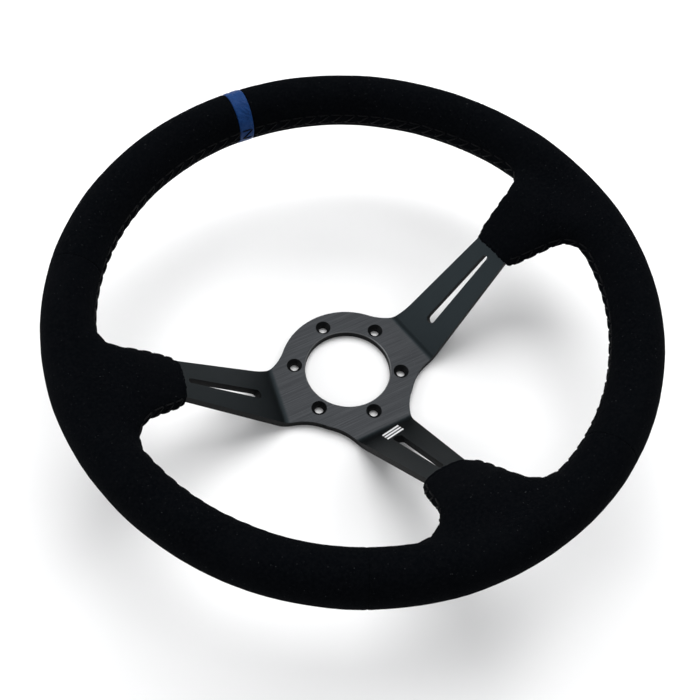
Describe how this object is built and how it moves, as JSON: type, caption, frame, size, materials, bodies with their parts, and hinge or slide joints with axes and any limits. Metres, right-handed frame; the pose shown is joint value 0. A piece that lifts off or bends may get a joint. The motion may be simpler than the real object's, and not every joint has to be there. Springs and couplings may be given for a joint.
{
  "type": "steering wheel",
  "caption": "Deep-dish three-spoke steering wheel with a suede-covered round rim, a coloured leather centre marker and a drilled flat aluminium hub plate.",
  "frame": {"origin": "centre of the hub's rear mounting face, on the steering axis", "axes": "+Z along the steering axis towards the driver, +Y to 12 o'clock, +X to 3 o'clock as the driver sees it"},
  "size_m": [0.35, 0.35, 0.0995],
  "materials": {
    "anodised_plate": "brushed aluminium plate, black anodised, satin",
    "bare_core": "bare rolled aluminium, hidden inside the rim",
    "rivet_metal": "bare aluminium rivets, hidden inside the rim",
    "rim_foam": "moulded integral-skin polyurethane foam, matte, hidden under the suede",
    "black_suede": "deep black suede with a short soft nap",
    "marker_leather": "blue smooth-grain leather strip",
    "seam_thread": "black waxed polyester thread, cross stitched"
  },
  "bodies": {
    "root": {"spoke_frame": "anodised_plate", "rim_core_ring": "bare_core", "spoke_rivets": "rivet_metal", "foam_rim": "rim_foam", "suede_upper_left": "black_suede", "suede_upper_right": "black_suede", "suede_left": "black_suede", "suede_right": "black_suede", "suede_bottom": "black_suede", "centre_marker_band": "marker_leather", "seam_thread_upper": "seam_thread", "seam_thread_lower_left": "seam_thread", "seam_thread_lower_right": "seam_thread"}
  },
  "joints": []
}
